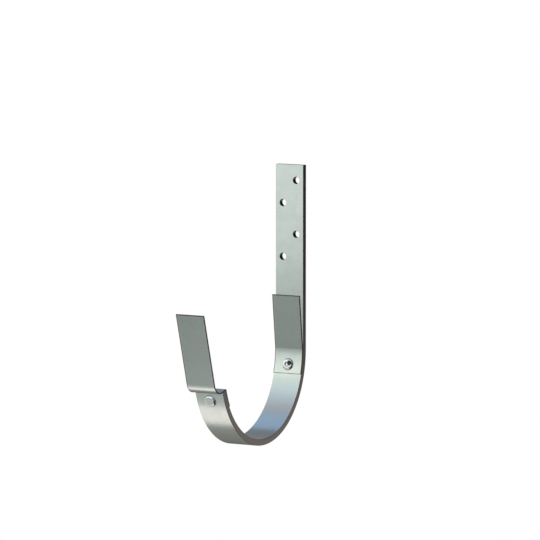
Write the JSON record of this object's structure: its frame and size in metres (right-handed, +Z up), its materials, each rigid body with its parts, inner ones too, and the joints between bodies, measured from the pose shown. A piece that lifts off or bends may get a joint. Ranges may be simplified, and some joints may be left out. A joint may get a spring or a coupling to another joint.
{
  "type": "gutter bracket",
  "caption": "Galvanised J-shaped hook that screws to a fascia or rafter and carries a half-round rain gutter, with bendable sheet clips that hold the gutter's front bead and rear edge.",
  "frame": {"origin": "middle of the four fixing holes, on the back face of the leg", "axes": "+X along the gutter, +Y out of the back face towards the wall, +Z up; the hook and its front arm are towards -Y"},
  "size_m": [0.03, 0.1985, 0.261],
  "materials": {
    "bar_zinc": "hot-dip galvanised, satin",
    "clip_zinc": "galvanised sheet, satin",
    "rivet_zinc": "zinc plated, bright"
  },
  "bodies": {
    "root": {"bar": "bar_zinc", "front_clip": "clip_zinc", "rear_clip": "clip_zinc", "front_rivet": "rivet_zinc", "rear_rivet": "rivet_zinc"}
  },
  "joints": []
}
